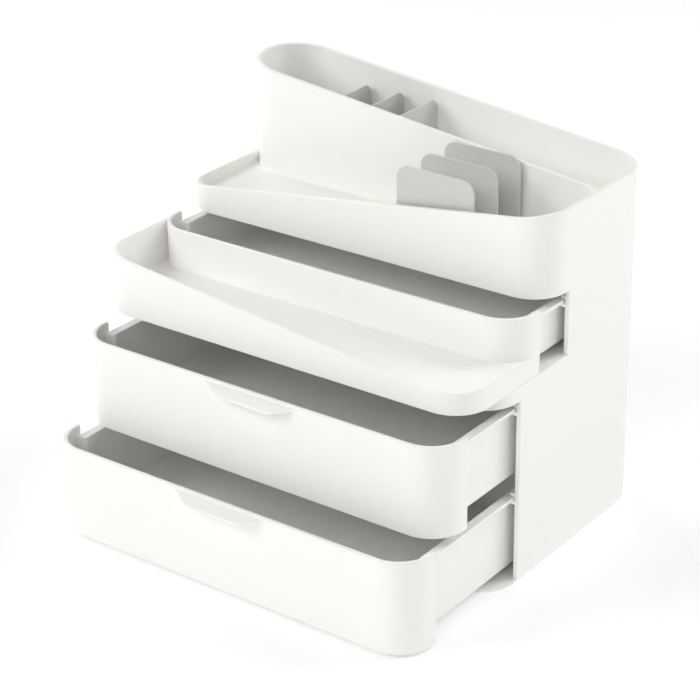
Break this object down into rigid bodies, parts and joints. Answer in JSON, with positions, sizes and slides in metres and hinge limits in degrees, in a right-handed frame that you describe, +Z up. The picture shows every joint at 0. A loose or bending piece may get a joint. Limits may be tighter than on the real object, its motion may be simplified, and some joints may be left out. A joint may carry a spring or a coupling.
{
  "type": "desktop drawer organizer",
  "caption": "Desktop drawer organizer: stepped plastic cabinet with sliding drawers, a front tray, a pen trough and upright divider plates.",
  "frame": {"origin": "middle of the underside of the base plate, half way between the sides and half way between the back and the closed lower fronts", "axes": "+X to the right seen from the front, the drawers open towards -Y, +Z up"},
  "size_m": [0.26, 0.2545, 0.2434],
  "materials": {
    "cabinet_plastic": "fine satin, warm white moulded plastic",
    "drawer_plastic": "fine satin, warm white moulded plastic",
    "runner_plastic": "smooth warm white moulded plastic",
    "divider_plastic": "smooth light grey plastic sheet"
  },
  "bodies": {
    "cabinet": {"base_plate": "cabinet_plastic", "side_panel_left": "cabinet_plastic", "side_panel_right": "cabinet_plastic", "back_panel": "cabinet_plastic", "step_shelf": "cabinet_plastic", "organizer_floor": "cabinet_plastic", "organizer_front": "cabinet_plastic", "trough_wall": "cabinet_plastic", "runner_bottom_left": "runner_plastic", "runner_bottom_right": "runner_plastic", "runner_middle_left": "runner_plastic", "runner_middle_right": "runner_plastic", "runner_top_left": "runner_plastic", "runner_top_right": "runner_plastic", "front_divider_1": "divider_plastic", "front_divider_2": "divider_plastic", "front_divider_3": "divider_plastic", "trough_divider_1": "divider_plastic", "trough_divider_2": "divider_plastic", "trough_divider_3": "divider_plastic"},
    "bottom_drawer": {"bottom_drawer_front": "drawer_plastic", "bottom_drawer_box": "drawer_plastic"},
    "middle_drawer": {"middle_drawer_front": "drawer_plastic", "middle_drawer_box": "drawer_plastic"},
    "top_drawer": {"top_drawer_tray": "drawer_plastic", "top_drawer_front": "drawer_plastic", "top_drawer_box": "drawer_plastic"}
  },
  "joints": [
    {"name": "bottom_drawer_slide", "type": "slide", "parent": "cabinet", "child": "bottom_drawer", "axis": [0, -1, 0], "range_m": [-0.0815, 0.0085]},
    {"name": "middle_drawer_slide", "type": "slide", "parent": "cabinet", "child": "middle_drawer", "axis": [0, -1, 0], "range_m": [-0.0514, 0.0386]},
    {"name": "top_drawer_slide", "type": "slide", "parent": "cabinet", "child": "top_drawer", "axis": [0, -1, 0], "range_m": [-0.029, 0.016]}
  ]
}
